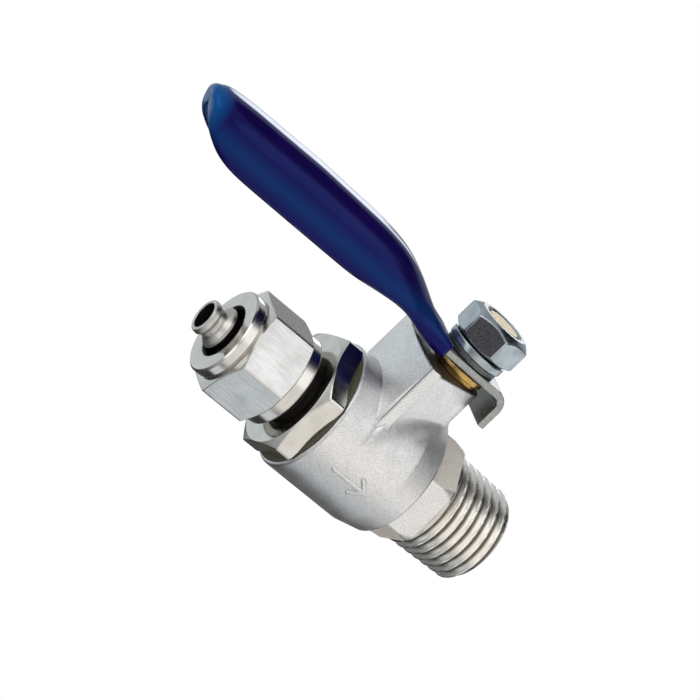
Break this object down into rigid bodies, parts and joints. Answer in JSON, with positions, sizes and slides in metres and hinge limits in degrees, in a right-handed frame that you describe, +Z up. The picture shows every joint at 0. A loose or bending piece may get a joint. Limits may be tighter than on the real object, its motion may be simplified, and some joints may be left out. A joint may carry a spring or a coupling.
{
  "type": "lever ball valve with tube fitting",
  "caption": "Small quarter-turn lever valve: cast body with male taper thread, stem boss and stop lug, blue dipped lever, and a barbed tube fitting with clamp nut.",
  "frame": {"origin": "centre of the male thread's end face, on the flow axis", "axes": "+X out of the male thread along the flow, +Z up along the stem, +Y to the far side; the stem axis is 18 mm behind the origin"},
  "size_m": [0.0643, 0.0177, 0.0312],
  "materials": {
    "cast_body": "bead-blasted cast brass with a matt nickel plate",
    "plated_brass": "polished nickel plate on machined brass",
    "plated_nut": "satin nickel plate on machined brass",
    "gasket": "olive fibre seal",
    "plated_ball": "polished plated ball",
    "ptfe": "white PTFE",
    "brass": "bright machined brass",
    "rubber": "black nitrile",
    "lever_steel": "pressed zinc-plated steel sheet",
    "vinyl": "glossy ultramarine dipped vinyl",
    "dark_steel": "blackened steel",
    "zinc_steel": "bluish zinc plate"
  },
  "bodies": {
    "valve": {"valve_body": "cast_body", "tube_adapter": "plated_brass", "adapter_gasket": "gasket", "seat_inlet": "ptfe", "seat_outlet": "ptfe"},
    "lever": {"ball": "plated_ball", "stem": "brass", "thrust_washer": "ptfe", "stem_o_ring_lower": "rubber", "stem_o_ring_upper": "rubber", "stem_collar": "brass", "lever": "lever_steel", "lever_sleeve": "vinyl", "flat_washer": "dark_steel", "spring_washer": "zinc_steel", "stem_nut": "zinc_steel"},
    "tube_nut": {"tube_nut": "plated_nut"}
  },
  "joints": [
    {"name": "lever_turn", "type": "hinge", "parent": "valve", "child": "lever", "pos_m": [-0.018, 0, 0.014], "axis": [0, 0, 1], "range_deg": [0, 90]},
    {"name": "tube_nut_release", "type": "slide", "parent": "valve", "child": "tube_nut", "axis": [-1, 0, 0], "range_m": [0, 0.02]}
  ]
}
